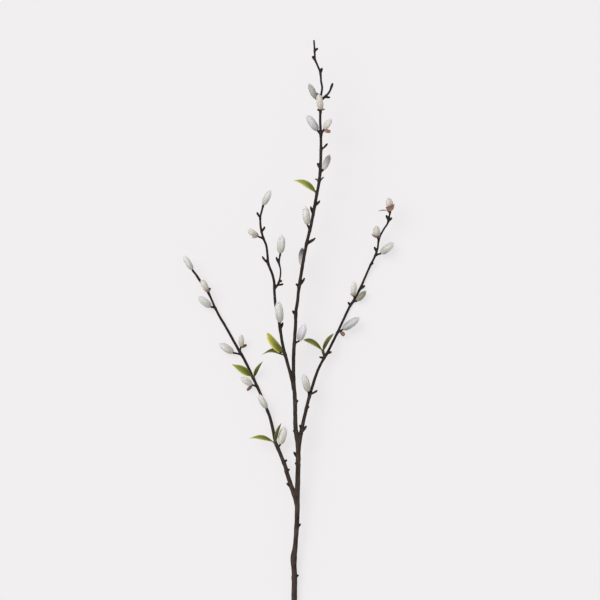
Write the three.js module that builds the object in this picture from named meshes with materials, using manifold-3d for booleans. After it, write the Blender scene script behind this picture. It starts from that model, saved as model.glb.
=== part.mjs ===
// A cut pussy willow twig, lying on a table: one woody stem with three side branches,
// silky catkins, the bud scales that the catkins pushed aside, and young leaves.
// Millimetres. +Y runs from the cut end to the tip, +X is to the right of that, +Z is up from the table.

import * as THREE from "three";
import { mergeVertices } from "three/addons/utils/BufferGeometryUtils.js";
import ManifoldModule from "manifold-3d";

const wasm = await ManifoldModule();
wasm.setup();

// Driving dimensions
// The drawing's origin is on the table beside the stem, 60 mm up from the cut end.

const BOX_MIDDLE = { x: -7.56, y: 390.4 };
const SEAT_GAP = 0.3;
const CUT_END = { y: -60, slant: 28 };

const STEM_SIDES = 8;
const TWIG_SIDES = 6;
const BUD_SIDES = 5;
const RING_SPACING = 13;

const STALK_RADII = [1.8, 1.4, 1.35, 1.6];
const BUD_RADII = [1.3, 1.2, 1.7, 0.95];
const STUB_RADII = [1.9, 1.7, 1.6, 1.2];

const CATKIN = { around: 8, rows: 10, widest: 0.88, bluntness: 2.7, tuftHeight: 0.25, tuftReach: 0.5 };
const LEAF = { thickness: 0.7, stalkWidth: 1.5, tipWidth: 0.9, steps: 8, columns: 4, wave: 0.35 };
const USUAL_LEAF = { belly: 0.85, fullness: 0.95 };
const SCALE = { thickness: 0.7, wrap: 78, steps: 5, columns: 4 };
const CUP = { thickness: 0.7, gap: 0.45, lowest: -0.01, footRadius: 1.8, setBack: 0.45, lip: 0.3,
  steps: 6, columns: 6 };

const COLOURS = {
  bark: "#443a34",
  catkin: "#bfc0b6",
  shadedCatkin: "#8d8e87",
  budScale: "#75493a",
  leaf: "#6f7636",
  yellowLeaf: "#98973f",
};

// Stems: the middle line of each, from its root to its tip, and the radius at some heights y along it.
// The main stem rises from its cut end. The left and right branches come down to the table and lift again.

const STEMS = {
  main: {
    radii: [[-60, 4.4], [50, 4.2], [63, 5.0], [76, 3.9], [95, 3.5], [160, 3.9], [300, 3.1], [335, 2.85],
      [366, 2.7], [430, 2.5], [500, 2.4], [650, 2.3], [710, 2.0], [740, 1.75], [825, 1.5], [840, 1.35]],
    points: [
      [0.3, -60, 4.1], [0.3, -38, 4.3], [0.3, 0, 6.8], [0.6, 37, 10], [-0.5, 63, 12.5], [1.5, 78, 14],
      [3, 95, 15.5], [4.8, 130, 19], [5, 156, 21.5], [6, 195, 25], [6.3, 223, 27.5], [5.4, 236, 28.5],
      [2.5, 257, 30], [1.5, 300, 33.5], [-0.5, 330, 36.5], [-0.6, 366, 39.5], [0.4, 385, 41],
      [2.4, 414, 43.5], [2.8, 432, 44.5], [5.2, 448, 46], [7.5, 470, 48], [11.5, 494, 50], [15, 515, 51.5],
      [20, 540, 53.5], [24.5, 558, 55], [29, 580, 56.5], [32.5, 600, 58], [37.5, 627, 60],
      [39.3, 645, 61.5], [40.3, 672, 63.5], [40.2, 700, 65.5], [39.2, 720, 67], [40, 738, 68],
      [40.2, 755, 69], [42.2, 768, 70], [40.6, 778, 70.5], [39.4, 791, 71], [35.2, 802, 71.5],
      [31.8, 810, 72], [31, 822, 72.5], [29.9, 840, 73],
    ],
  },
  left: {
    radii: [[145, 3.7], [175, 3.3], [220, 2.75], [270, 2.35], [340, 2.15], [410, 2.0],
      [450, 1.75], [472, 1.75], [484, 2.05], [495, 1.4]],
    points: [
      [5, 140, 20], [2, 153, 20.5], [-1.5, 163, 20.2], [-5, 174, 19.4], [-9.5, 187, 18], [-13, 200, 16.5],
      [-18, 213, 15], [-22.5, 224, 13.7], [-27.5, 236, 12.5], [-31, 253, 10.8], [-35.5, 272, 9],
      [-41, 287, 7.6], [-51.5, 312, 5.4], [-63, 337, 3.6], [-70.5, 353, 2.6], [-78.5, 368, 2.1],
      [-84, 377, 1.85], [-93.5, 394, 1.8], [-103, 411, 2.6], [-112.5, 427, 4.4], [-119.5, 441, 7],
      [-125.5, 455, 10], [-130, 464, 12], [-141.5, 480, 16], [-147.5, 489, 18.5], [-152.4, 495.2, 20],
    ],
  },
  middle: {
    radii: [[322, 2.75], [350, 2.5], [400, 2.3], [470, 2.1], [530, 1.8], [592, 1.55]],
    points: [
      [-0.5, 316, 35.2], [-2.8, 330, 37], [-5.7, 341, 39.5], [-8.8, 352, 42], [-12.6, 366, 45.5],
      [-15.6, 377, 48], [-18, 389, 50.5], [-20.3, 404, 53.5], [-22.2, 416, 56], [-25.2, 432, 58],
      [-28, 446, 60], [-29.3, 463, 63], [-29.9, 478, 65], [-32.5, 489, 66.5], [-38.5, 505, 69],
      [-39.7, 518, 71], [-41.6, 532, 73], [-46.2, 544, 75], [-49.3, 556, 76.5], [-50.5, 574, 78],
      [-48.2, 584, 79], [-46.3, 591.5, 79.5],
    ],
  },
  right: {
    radii: [[218, 3.0], [260, 2.8], [300, 2.45], [345, 2.15], [420, 1.95], [500, 1.7],
      [560, 1.45], [585, 1.35]],
    points: [
      [6.3, 214, 26.5], [7.8, 232, 29], [10, 246, 30], [12, 258, 30.2], [14.7, 271, 29.8], [17.7, 284, 28.8],
      [21, 298, 27.3], [24, 309, 25.8], [28, 322, 23.8], [33.5, 339, 20.8], [39, 352, 18.3], [45, 363, 15.8],
      [51.5, 374, 13.3], [58.5, 388, 10.3], [65.5, 402, 7.3], [72, 416, 4.8], [79, 431, 2.7],
      [84.5, 442, 1.95], [90, 450, 1.6], [97, 463, 1.55], [103.5, 477, 2.5], [110, 492, 4.8], [116, 505, 7.3],
      [121.5, 516, 10], [125.3, 527, 12.5], [127.2, 540, 15.5], [130, 548, 17.5], [135, 557, 20],
      [140.7, 566, 22], [143, 576, 24], [144.6, 583.8, 25.5],
    ],
  },
  middleTwiglet: {
    radii: [[466, 1.5], [490, 1.3], [519, 1.4]],
    points: [
      [-29.3, 466, 63.2], [-25, 472.5, 65], [-21.8, 480, 66.5], [-20.2, 489, 68], [-20.4, 497, 69.5],
      [-22, 504, 71], [-22, 511, 72.5], [-20.6, 519, 74],
    ],
  },
  topTwiglet: {
    radii: [[750, 1.7], [765, 1.6], [771, 2.1], [776, 1.5]],
    points: [
      [40.2, 748, 68.6], [46.2, 755, 70.4], [51, 759.5, 71.6], [54.2, 764.5, 72.4], [56, 769.5, 73.2],
      [58, 775.4, 74],
    ],
  },
};

// Catkins: the stem that each grows on, the height y where its stalk leaves, the stalk from the stem's middle
// to the catkin's foot, the span from foot to tip, and the girth across.

const CATKINS = {
  main_1: { on: "main", y: 746, stalk: [-7, 6.5, -4], span: [-10, 20.5, -2], girth: 9.6 },
  main_2: { on: "main", y: 731, stalk: [0.5, 5, 6], span: [-3, 20.5, 8], girth: 10.4 },
  main_3: { on: "main", y: 697, stalk: [-5, 7.5, 0.5], span: [-15, 21.5, 2], girth: 11.6 },
  main_4: { on: "main", y: 697, stalk: [5, 10, 3.5], span: [9.6, 13.5, 10.5], girth: 9.6 },
  main_5: { on: "main", y: 640, stalk: [5.2, 6, 1.5], span: [8.6, 20, 3], girth: 9.6 },
  main_6: { on: "main", y: 554, stalk: [-3.4, 9.5, 2], span: [-3, 26, 4], girth: 11.2 },
  main_7: { on: "main", y: 498, stalk: [-0.6, 5, -7], span: [1, 23.5, -6], girth: 10.4, shaded: true },
  main_8: { on: "main", y: 384, stalk: [7.2, 5.5, 1.6], span: [8.2, 23, 5], girth: 12 },
  middle_1: { on: "middle", y: 591, stalk: [0.4, 2, 0.4], span: [10, 20, 5], girth: 10 },
  middle_2: { on: "middle", y: 542, stalk: [-10, 4.5, 2], span: [-13.5, 9.5, 11], girth: 9.6 },
  middle_3: { on: "middleTwiglet", y: 518, stalk: [0.3, 2.5, 0.6], span: [2.4, 25.5, 4], girth: 12 },
  middle_4: { on: "middle", y: 410, stalk: [0.4, 7, 7.5], span: [-2.5, 30.5, 11], girth: 12.4 },
  left_1: { on: "left", y: 494.5, stalk: [-0.8, 1.6, 0.6], span: [-12.3, 20, 5], girth: 9.2 },
  left_2: { on: "left", y: 459, stalk: [-3, 5.5, 6], span: [-7.5, 15.5, 14], girth: 9.8 },
  left_3: { on: "left", y: 438, stalk: [-7, 2.5, 2], span: [-18, 14, 5], girth: 11.2 },
  left_4: { on: "left", y: 368, stalk: [-13, 3.5, 5.5], span: [-19.5, 13, 4], girth: 11.4 },
  left_5: { on: "left", y: 373, stalk: [2.2, 8, 5.5], span: [0.5, 16, 13], girth: 8.8 },
  left_6: { on: "left", y: 320, stalk: [-8.5, 3.5, 5], span: [-16, 10.5, 10], girth: 10.4 },
  left_7: { on: "left", y: 283, stalk: [-1.8, 5, 7], span: [-11.5, 19.5, 8], girth: 9.8 },
  left_8: { on: "left", y: 227, stalk: [3.2, 7, 3], span: [6.5, 25, 6], girth: 12 },
  right_1: { on: "right", y: 583, stalk: [-0.1, 2.6, 0.8], span: [-2, 16.5, 13], girth: 10.8 },
  right_2: { on: "right", y: 539.5, stalk: [-2.4, 6.5, 4], span: [-1.5, 14, 14], girth: 11 },
  right_3: { on: "right", y: 517, stalk: [8.5, 3.5, 1.5], span: [17.5, 14, 3], girth: 11.4 },
  right_4: { on: "right", y: 452, stalk: [-2, 5.5, 6], span: [1, 20.5, 9], girth: 9.2 },
  right_5: { on: "right", y: 447, stalk: [6.6, 2.5, 5], span: [12, 13, 3], girth: 9 },
  right_6: { on: "right", y: 401, stalk: [8.5, 5.5, 4.5], span: [22.5, 16, 5], girth: 12 },
  right_7: { on: "right", y: 305, stalk: [-1.6, 8, 3.5], span: [-6.6, 25, 5], girth: 11.2 },
};

// Bud scales: the catkin that each sheathed, its span from foot to tip, its width across, where its foot is,
// back down the stalk from the catkin and out from the stalk's middle, how far its back is tilted up, in
// degrees, and how much of its length it curls in by.

const BUD_SCALES = {
  main_2: { span: [4.6, 0.6, 3.4], width: 4.8, back: 2.2, out: 2.7, tilt: 40, curl: 0.12 },
  main_4: { span: [9, -1.5, 2], width: 6, back: 3.6, out: 2.7, tilt: 105, curl: 0.12 },
  left_5: { span: [7.6, 3.4, 1], width: 5.2, back: 3.4, out: 2.8, tilt: 105, curl: 0.12 },
  left_6: { span: [-7, -7, 1.5], width: 5.2, back: 1.9, out: 2.5, tilt: 105, curl: 0.12 },
  right_6: { span: [5.4, -5.4, 3], width: 6.4, back: 6.2, out: 2.4, tilt: 80, curl: 0.12 },
};

// Cupped scales that still hug the foot of their catkin: the way that each looks, how far up the catkin it
// reaches, as a share of the length, half its angle round it, in degrees, and how far its lip stands off.

const CUPPED_SCALES = {
  middle_2: { toward: [0.25, -0.75, 0.6], reach: 0.5, wrap: 64, flare: 2.4 },
  left_2: { toward: [0.4, -0.6, 0.7], reach: 0.22, wrap: 62, flare: 0.8 },
  right_1: { toward: [0.5, -0.4, 0.8], reach: 0.66, wrap: 84, flare: 1.2 },
  right_2: { toward: [-0.5, -0.5, 0.7], reach: 0.36, wrap: 75, flare: 1.4 },
  right_4: { toward: [-0.1, -0.8, 0.6], reach: 0.24, wrap: 62, flare: 1.1 },
};

// Leaves: the stem, the height y and the stalk as for a catkin, the span from foot to tip, the bow of the
// midrib's middle away from a straight line, the way that the upper face looks, the width and the fold.
// A belly over the usual moves the widest place towards the tip, and a fullness under the usual makes blunter
// ends.

const LEAVES = {
  main_1: { on: "main", y: 609.4, stalk: [-3.6, 4.5, 1], span: [-31, 15.5, 5], bow: [1.2, 3.4, 4],
    face: [-0.25, 0.35, 1], width: 10.2, fold: 22, yellow: true },
  main_2: { on: "main", y: 629, stalk: [-3.3, 1.5, 0.8], span: [-3.4, 0.4, 1.6], bow: [0, 0.5, 0],
    face: [0.2, 0.6, 1], width: 3, fold: 15 },
  main_3: { on: "main", y: 629, stalk: [3.7, 2.5, 1], span: [3.8, 2.6, 1.8], bow: [0, 0.6, 0],
    face: [-0.2, 0.6, 1], width: 3.4, fold: 15 },
  middle_1: { on: "middle", y: 369, stalk: [-6.5, 5, 2.5], span: [-20, 27, 8], bow: [-1, -0.5, 3],
    face: [-0.3, 0.2, 1], width: 13.2, fold: 24, fullness: 0.45, yellow: true },
  middle_2: { on: "middle", y: 367, stalk: [-6.8, 2.5, -2], span: [-29, -1.5, -6], bow: [2, 5.4, 1],
    face: [0.05, 0.5, 1], width: 9, fold: 26, belly: 0.6, fullness: 1.2 },
  right_1: { on: "right", y: 364, stalk: [-4, 11.5, 2], span: [-27.5, 15, 4], bow: [0.6, 3.4, 4],
    face: [-0.1, 0.35, 1], width: 9, fold: 24, belly: 1.25, fullness: 0.75 },
  right_2: { on: "right", y: 364, stalk: [-1, 12.5, 3.6], span: [15, 23.5, 9], bow: [-1, 0.8, 2],
    face: [-0.6, 0.25, 1], width: 8.6, fold: 26, fullness: 0.75 },
  right_3: { on: "right", y: 581, stalk: [-4, 4, 0.2], span: [-13.5, -1, 2], bow: [0, 0.3, 0.3],
    face: [0, 1, 0.3], width: 3.6, fold: 14 },
  left_1: { on: "left", y: 333, stalk: [-3.6, 3.5, 2.4], span: [-29.5, 17.5, 6], bow: [0.4, 1.2, 3.5],
    face: [-0.2, 0.3, 1], width: 12, fold: 24, fullness: 1.25 },
  left_2: { on: "left", y: 333, stalk: [2, 4, 2.4], span: [12.5, 21.5, 10], bow: [-0.8, 0.4, 2],
    face: [-0.5, 0.2, 1], width: 7.6, fold: 26, belly: 0.7, fullness: 1.1 },
  left_3: { on: "left", y: 233, stalk: [-4.4, 4, 2], span: [-36, 5.5, 5], bow: [0, 3.6, 3],
    face: [0, 0.55, 1], width: 8.6, fold: 26, belly: 1, fullness: 1.3 },
  left_4: { on: "left", y: 233, stalk: [-1, 7, 3], span: [8.6, 26, 13], bow: [-1, 0.5, 2],
    face: [-0.5, 0.1, 1], width: 7.2, fold: 26, belly: 0.75 },
};

// Buds: the stem, the height y of the root and the reach from the stem's middle to the tip. Stubs are blunt.

const BUDS = {
  main: [
    [211, [-6.6, 12, 2]], [252, [-4.4, 3, 1]], [296, [4.6, 4, 1.5]], [426, [-4.6, 9, 1]],
    [430, [0.5, 5, 3.6]], [470, [-4.6, 5, 1.5]], [470, [8.4, 13.8, 2]], [533, [13.6, 10.5, 2]],
    [536, [9.8, 5.5, 2.8]], [578, [-3.6, 13, 3]], [590, [8, 9.5, 2]], [646, [-4.2, 10, 1]],
    [675, [10, 10, 2]], [733, [-4.6, 3.5, 1]], [756, [-6.4, 4, 4]], [789, [2, 9.5, 1]],
    [808, [-5, 8, 1]], [823, [4.8, 5, 1]],
  ],
  left: [
    [193, [4.4, 4, 1]], [206, [4.4, 5, 1]], [462, [3, 7, 1]],
  ],
  middle: [
    [405, [3.6, 12, 1]], [504, [-9.4, 12, 1]], [552, [4.8, 8.5, 1]], [573, [-4.8, 9, 1]],
  ],
  right: [
    [254, [-2.4, 9.5, 2.5]], [250, [8, 12, 1]], [287, [4.2, 4, 1]], [308, [11.4, 7, 1]], [369, [8, 4, 1]],
    [442, [-3.2, 5.5, 1.6]], [465, [8.4, 7.5, 2.4]], [503, [3.8, 3.5, 1]], [522, [-3, 8.5, 1]],
    [569, [-3, 9, 1]], [568, [5.6, 6.3, 1]],
  ],
  middleTwiglet: [
    [503, [-4.6, 12, 1]], [477, [5, 2.5, 1]], [472, [9.5, 2.5, 1]],
  ],
  topTwiglet: [
    [754, [9, 0, 1]],
  ],
};

const STUBS = {
  main: [[34, [6.4, 3.6, 1]], [108, [6.2, 6.6, 1]], [203, [-4.8, 3, 1]]],
  left: [[168, [-7.8, 7.6, 1]]],
  right: [[363, [-7, 2, 1]]],
};

// Shared helpers

const toVector = (numbers) => new THREE.Vector3(...numbers);

function interpolate(pairs, at) {
  const next = pairs.findIndex(([place]) => place >= at);
  if (next <= 0) return pairs.at(next)[1];
  const [low, lowValue] = pairs[next - 1];
  const [high, highValue] = pairs[next];
  return THREE.MathUtils.mapLinear(at, low, high, lowValue, highValue);
}

function toSolid(geometry) {
  const bare = geometry.clone().deleteAttribute("normal").deleteAttribute("uv");
  const joined = mergeVertices(bare, 1e-5);
  return new wasm.Manifold(new wasm.Mesh({
    numProp: 3,
    vertProperties: new Float32Array(joined.attributes.position.array),
    triVerts: new Uint32Array(joined.index.array),
  }));
}

function toGeometry(solid) {
  const mesh = solid.getMesh();
  const geometry = new THREE.BufferGeometry();
  geometry.setAttribute("position", new THREE.BufferAttribute(mesh.vertProperties, 3));
  geometry.setIndex(new THREE.BufferAttribute(mesh.triVerts, 1));
  return geometry;
}

function makeMesh(name, geometry, colour, roughness) {
  geometry.computeVertexNormals();
  const material = new THREE.MeshStandardMaterial({ color: colour, roughness, metalness: 0 });
  const mesh = new THREE.Mesh(geometry, material);
  mesh.name = name;
  return mesh;
}

// A closed tube along a curve, with its radius given at each share of the length.
function sweep(curve, radiusAt, sides, rings) {
  const tube = new THREE.CylinderGeometry(1, 1, 1, sides, rings);
  const frames = curve.computeFrenetFrames(rings, false);
  const places = tube.attributes.position;
  for (let i = 0; i < places.count; i++) {
    const ring = Math.round((places.getY(i) + 0.5) * rings);
    const point = curve.getPointAt(ring / rings);
    const radius = radiusAt(ring / rings, point);
    point.addScaledVector(frames.binormals[ring], places.getX(i) * radius);
    point.addScaledVector(frames.normals[ring], places.getZ(i) * radius);
    places.setXYZ(i, point.x, point.y, point.z);
  }
  return toSolid(tube);
}

// A thin closed shell between two surfaces of (t, w), t from 0 to 1 along it and w from -1 to 1 across.
function shell(outer, inner, steps, columns) {
  const points = [];
  for (const surface of [outer, inner]) {
    for (let i = 0; i <= steps; i++) {
      for (let j = 0; j <= columns; j++) {
        points.push(...surface(i / steps, 2 * j / columns - 1));
      }
    }
  }
  const at = (i, j) => i * (columns + 1) + j;
  const back = (steps + 1) * (columns + 1);
  const faces = [];
  for (let i = 0; i < steps; i++) {
    for (let j = 0; j < columns; j++) {
      const [a, b, c, d] = [at(i, j), at(i + 1, j), at(i + 1, j + 1), at(i, j + 1)];
      faces.push(a, b, c, a, c, d);
      faces.push(back + a, back + c, back + b, back + a, back + d, back + c);
    }
  }
  const rim = [];
  for (let j = 0; j < columns; j++) rim.push(at(0, j));
  for (let i = 0; i < steps; i++) rim.push(at(i, columns));
  for (let j = columns; j > 0; j--) rim.push(at(steps, j));
  for (let i = steps; i > 0; i--) rim.push(at(i, 0));
  rim.forEach((p, k) => {
    const q = rim[(k + 1) % rim.length];
    faces.push(p, q, back + q, p, back + q, back + p);
  });
  const geometry = new THREE.BufferGeometry();
  geometry.setAttribute("position", new THREE.Float32BufferAttribute(points, 3));
  geometry.setIndex(faces);
  return geometry;
}

// Stems and what is seated on them

const middleLines = {};
for (const [name, stem] of Object.entries(STEMS)) {
  middleLines[name] = new THREE.CatmullRomCurve3(stem.points.map(toVector), false, "centripetal");
}

// The point of a stem's middle line at the height y.
function pointOn(name, y) {
  let low = 0;
  let high = 1;
  for (let i = 0; i < 24; i++) {
    const middle = (low + high) / 2;
    if (middleLines[name].getPointAt(middle).y < y) low = middle;
    else high = middle;
  }
  return middleLines[name].getPointAt(low);
}

const footOf = ({ on, y, stalk }) => pointOn(on, y).add(toVector(stalk));
// The way that a piece leaves its foot: along its span, or along its midrib's start if that is bowed.
const headingOf = ({ span, bow = [0, 0, 0] }) => toVector(span).addScaledVector(toVector(bow), 4).normalize();

function stemSolid(name) {
  const curve = middleLines[name];
  const radiusAt = (share, point) => interpolate(STEMS[name].radii, point.y);
  const sides = name === "main" ? STEM_SIDES : TWIG_SIDES;
  return sweep(curve, radiusAt, sides, Math.round(curve.getLength() / RING_SPACING));
}

// A short stalk from inside the stem that turns into line with the catkin or leaf that it carries.
function stalkLine(carried) {
  const root = pointOn(carried.on, carried.y);
  const heading = headingOf(carried);
  const end = footOf(carried).addScaledVector(heading, -SEAT_GAP);
  const bend = root.clone().lerp(end, 0.55);
  const turn = end.clone().addScaledVector(heading, -1.2);
  return new THREE.CatmullRomCurve3([root, bend, turn, end], false, "centripetal");
}

function stalkSolid(carried) {
  return sweep(stalkLine(carried), spreadAlong(STALK_RADII), BUD_SIDES, STALK_RADII.length - 1);
}

// A bud on its short foot, bowed a little so that its tip turns up along the stem.
function budSolid(stem, [y, reach], radii) {
  const root = pointOn(stem, y);
  const tip = root.clone().add(toVector(reach));
  const outward = new THREE.Vector3(reach[0], 0, reach[2]).normalize();
  const length = toVector(reach).length();
  const bend = root.clone().lerp(tip, 0.5).addScaledVector(outward, length * 0.09);
  const curve = new THREE.QuadraticBezierCurve3(root, bend, tip);
  return sweep(curve, spreadAlong(radii), BUD_SIDES, radii.length - 1);
}

function spreadAlong(radii) {
  const pairs = radii.map((radius, i) => [i / (radii.length - 1), radius]);
  return (share) => interpolate(pairs, share);
}

// What lies under the table's surface is taken off, which leaves the small flats that the twig rests on.
function tableSolid() {
  const block = new THREE.BoxGeometry(500, 1100, 20);
  block.translate(BOX_MIDDLE.x, BOX_MIDDLE.y, -10);
  return toSolid(block);
}

function slantedCut() {
  const block = new THREE.BoxGeometry(40, 40, 40);
  block.translate(0, -20, 0);
  block.rotateZ(THREE.MathUtils.degToRad(CUT_END.slant));
  block.translate(0, CUT_END.y + 3, 0);
  return toSolid(block);
}

function woodyStem() {
  const pieces = Object.keys(STEMS).map(stemSolid);
  for (const carried of [...Object.values(CATKINS), ...Object.values(LEAVES)]) {
    pieces.push(stalkSolid(carried));
  }
  for (const [list, radii] of [[BUDS, BUD_RADII], [STUBS, STUB_RADII]]) {
    for (const [stem, buds] of Object.entries(list)) {
      pieces.push(...buds.map((bud) => budSolid(stem, bud, radii)));
    }
  }
  const wood = wasm.Manifold.union(pieces).subtract(tableSolid()).subtract(slantedCut());
  return makeMesh("woody_stem", toGeometry(wood), COLOURS.bark, 0.75);
}

// Catkins: an egg shape with rows of silky tufts, every other point raised and drawn to the tip.

// The egg's radius at the share t of its length, as a share of its greatest.
function swellAt(t) {
  const fromMiddle = Math.abs(2 * Math.pow(t, CATKIN.widest) - 1);
  return Math.sqrt(1 - Math.pow(fromMiddle, CATKIN.bluntness));
}

function catkinMesh(name, catkin) {
  const foot = footOf(catkin);
  const span = toVector(catkin.span);
  const across = new THREE.Vector3(0, 0, 1).cross(span).normalize();
  const over = span.clone().normalize().cross(across);
  const { around, rows } = CATKIN;
  const egg = new THREE.SphereGeometry(1, around, rows);
  const places = egg.attributes.position;
  for (let i = 0; i < places.count; i++) {
    const row = Math.floor(i / (around + 1));
    const column = i % (around + 1);
    const t = 1 - row / rows;
    const angle = 2 * Math.PI * column / around;
    const tuft = (row + column) % 2 === 0 ? 1 : -0.5;
    const slope = Math.sin(Math.PI * t);
    const radius = (catkin.girth / 2 - CATKIN.tuftHeight) * swellAt(t) + CATKIN.tuftHeight * tuft * slope;
    const point = foot.clone().addScaledVector(span, t);
    point.addScaledVector(span.clone().normalize(), CATKIN.tuftReach * tuft * slope);
    point.addScaledVector(across, radius * Math.cos(angle));
    point.addScaledVector(over, radius * Math.sin(angle));
    places.setXYZ(i, point.x, point.y, point.z);
  }
  const colour = catkin.shaded ? COLOURS.shadedCatkin : COLOURS.catkin;
  return makeMesh(`catkin_${name}`, toGeometry(toSolid(egg)), colour, 0.95);
}

// Bud scales: a spoon-shaped shell beside the catkin's foot, hollow towards the catkin.

function budScaleMesh(name, scale) {
  const catkin = CATKINS[name];
  const heading = headingOf(catkin);
  const along = headingOf(scale);
  const forward = heading.clone().addScaledVector(along, -heading.dot(along)).normalize();
  const over = along.clone().cross(forward);
  const tilt = THREE.MathUtils.degToRad(scale.tilt) * Math.sign(over.z);
  const hollow = forward.multiplyScalar(Math.cos(tilt)).addScaledVector(over, -Math.sin(tilt));
  const side = along.clone().cross(hollow);
  const stalk = stalkLine(catkin);
  const foot = stalk.getPointAt(1 - scale.back / stalk.getLength()).addScaledVector(along, scale.out);
  const length = toVector(scale.span).length();
  const wrap = THREE.MathUtils.degToRad(SCALE.wrap);
  const surface = (inset) => (t, w) => {
    const round = scale.width / 2 * (0.42 + 0.58 * Math.sin(Math.PI * Math.min(0.08 + 0.86 * t, 1)));
    const keel = foot.clone().addScaledVector(along, length * t);
    keel.addScaledVector(hollow, scale.curl * length * t * t);
    keel.addScaledVector(hollow, round - (round - inset) * Math.cos(wrap * w));
    return keel.addScaledVector(side, (round - inset) * Math.sin(wrap * w));
  };
  const geometry = shell(surface(0), surface(SCALE.thickness), SCALE.steps, SCALE.columns);
  return makeMesh(`bud_scale_${name}`, geometry, COLOURS.budScale, 0.45);
}

// Cupped scales: part of a shell round the catkin's foot, just outside the egg, with a rounded, flared lip.

function cuppedScaleMesh(name, cup) {
  const catkin = CATKINS[name];
  const heading = headingOf(catkin);
  const toward = toVector(cup.toward).projectOnPlane(heading).normalize();
  const side = toward.clone().cross(heading);
  const foot = footOf(catkin).addScaledVector(heading, -CUP.setBack);
  const wrap = THREE.MathUtils.degToRad(cup.wrap);
  const surface = (standOff) => (t, w) => {
    const share = THREE.MathUtils.lerp(CUP.lowest, cup.reach * (1 - CUP.lip * w * w), t);
    const egg = swellAt(Math.max(share, 0)) * catkin.girth / 2;
    const radius = Math.max(egg, CUP.footRadius) + standOff + cup.flare * t * t;
    const point = foot.clone().addScaledVector(toVector(catkin.span), share);
    point.addScaledVector(toward, radius * Math.cos(wrap * w));
    return point.addScaledVector(side, radius * Math.sin(wrap * w));
  };
  const geometry = shell(surface(CUP.gap + CUP.thickness), surface(CUP.gap), CUP.steps, CUP.columns);
  return makeMesh(`bud_scale_${name}`, geometry, COLOURS.budScale, 0.45);
}

// Leaves: a lance-shaped blade on a bowed midrib, folded along it and waved a little at the edges.

function leafMesh(name, leaf) {
  const foot = footOf(leaf);
  const tip = foot.clone().add(toVector(leaf.span));
  const control = foot.clone().lerp(tip, 0.5).addScaledVector(toVector(leaf.bow), 2);
  const midrib = new THREE.QuadraticBezierCurve3(foot, control, tip);
  const { belly, fullness } = { ...USUAL_LEAF, ...leaf };
  const fold = THREE.MathUtils.degToRad(leaf.fold);
  const surface = (lift) => (t, w) => {
    const tangent = midrib.getTangent(t);
    const side = toVector(leaf.face).cross(tangent).normalize();
    const normal = tangent.clone().cross(side);
    const place = Math.pow(0.06 + 0.94 * t, belly);
    const blade = leaf.width / 2 * Math.pow(Math.max(Math.sin(Math.PI * place), 0), fullness);
    const half = Math.max(blade, THREE.MathUtils.lerp(LEAF.stalkWidth, LEAF.tipWidth, t) / 2);
    const wave = LEAF.wave * Math.sin(7 * t + 2 * w) * w * w * Math.min(1, half / 3);
    const point = midrib.getPoint(t).addScaledVector(side, half * w * Math.cos(fold));
    return point.addScaledVector(normal, half * Math.abs(w) * Math.sin(fold) + wave + lift);
  };
  const geometry = shell(surface(LEAF.thickness / 2), surface(-LEAF.thickness / 2), LEAF.steps, LEAF.columns);
  return makeMesh(`leaf_${name}`, geometry, leaf.yellow ? COLOURS.yellowLeaf : COLOURS.leaf, 0.6);
}

// The twig

function groupOf(name, meshes) {
  const group = new THREE.Group();
  group.name = name;
  group.add(...meshes);
  return group;
}

const meshesFrom = (table, maker) => Object.entries(table).map(([name, entry]) => maker(name, entry));

const twig = groupOf("willow_twig", [
  woodyStem(),
  groupOf("catkins", meshesFrom(CATKINS, catkinMesh)),
  groupOf("bud_scales", [
    ...meshesFrom(BUD_SCALES, budScaleMesh),
    ...meshesFrom(CUPPED_SCALES, cuppedScaleMesh),
  ]),
  groupOf("leaves", meshesFrom(LEAVES, leafMesh)),
]);
twig.position.set(-BOX_MIDDLE.x, -BOX_MIDDLE.y, 0);

export default twig;
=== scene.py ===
"""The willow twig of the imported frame, dressed: bark with buds, silky catkins, bud scales and veined leaves.

Sizes are in millimetres in the drawing's own frame, whose origin lies on the table beside the stem. Each
piece is worked out there as whole arrays, and then put in metres around the box's bottom middle, where the
frame has it.
"""

import bpy
import numpy as np
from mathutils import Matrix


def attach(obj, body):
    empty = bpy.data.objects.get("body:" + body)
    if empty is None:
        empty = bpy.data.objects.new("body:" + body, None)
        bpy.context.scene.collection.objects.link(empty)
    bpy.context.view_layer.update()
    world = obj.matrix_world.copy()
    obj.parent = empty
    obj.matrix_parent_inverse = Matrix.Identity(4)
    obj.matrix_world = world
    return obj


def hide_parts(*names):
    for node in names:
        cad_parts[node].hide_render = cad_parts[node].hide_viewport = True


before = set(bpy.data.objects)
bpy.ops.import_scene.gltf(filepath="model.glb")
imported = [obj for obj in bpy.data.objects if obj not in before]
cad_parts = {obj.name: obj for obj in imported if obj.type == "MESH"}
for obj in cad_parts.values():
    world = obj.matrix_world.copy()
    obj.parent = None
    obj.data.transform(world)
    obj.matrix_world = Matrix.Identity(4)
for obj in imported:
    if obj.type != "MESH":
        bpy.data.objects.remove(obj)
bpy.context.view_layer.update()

# Driving dimensions

MM = 0.001
BOX_MIDDLE = np.array([-7.56, 390.4, 0.0])
UP = np.array([0.0, 0.0, 1.0])
GOLDEN_ANGLE = np.radians(137.508)

PHOTO = {"middle": (9.0, 450.4, 36.0), "width": 900.0, "sensor": 36.0, "lens": 1200.0}

WOOD = {
    "voxel": 0.64, "spacing": 1.0, "sides": 20, "node_swell": 0.35, "node_length": 2.0, "lump": 0.035,
    "wrinkle": 0.07, "old_radius": 3.4, "young_radius": 1.4, "leaf_stalk": 0.85,
}
CUT_END = {"y": -57.0, "slant": 28.0}
STALK_RADII = (1.9, 1.55, 1.45, 1.5, 1.7)
BUD_RADII = (1.4, 1.3, 1.6, 1.85, 1.1)
STUB_RADII = (2.0, 1.8, 1.7, 1.65, 1.25)
STALK_OVERLAP = 0.5

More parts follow.
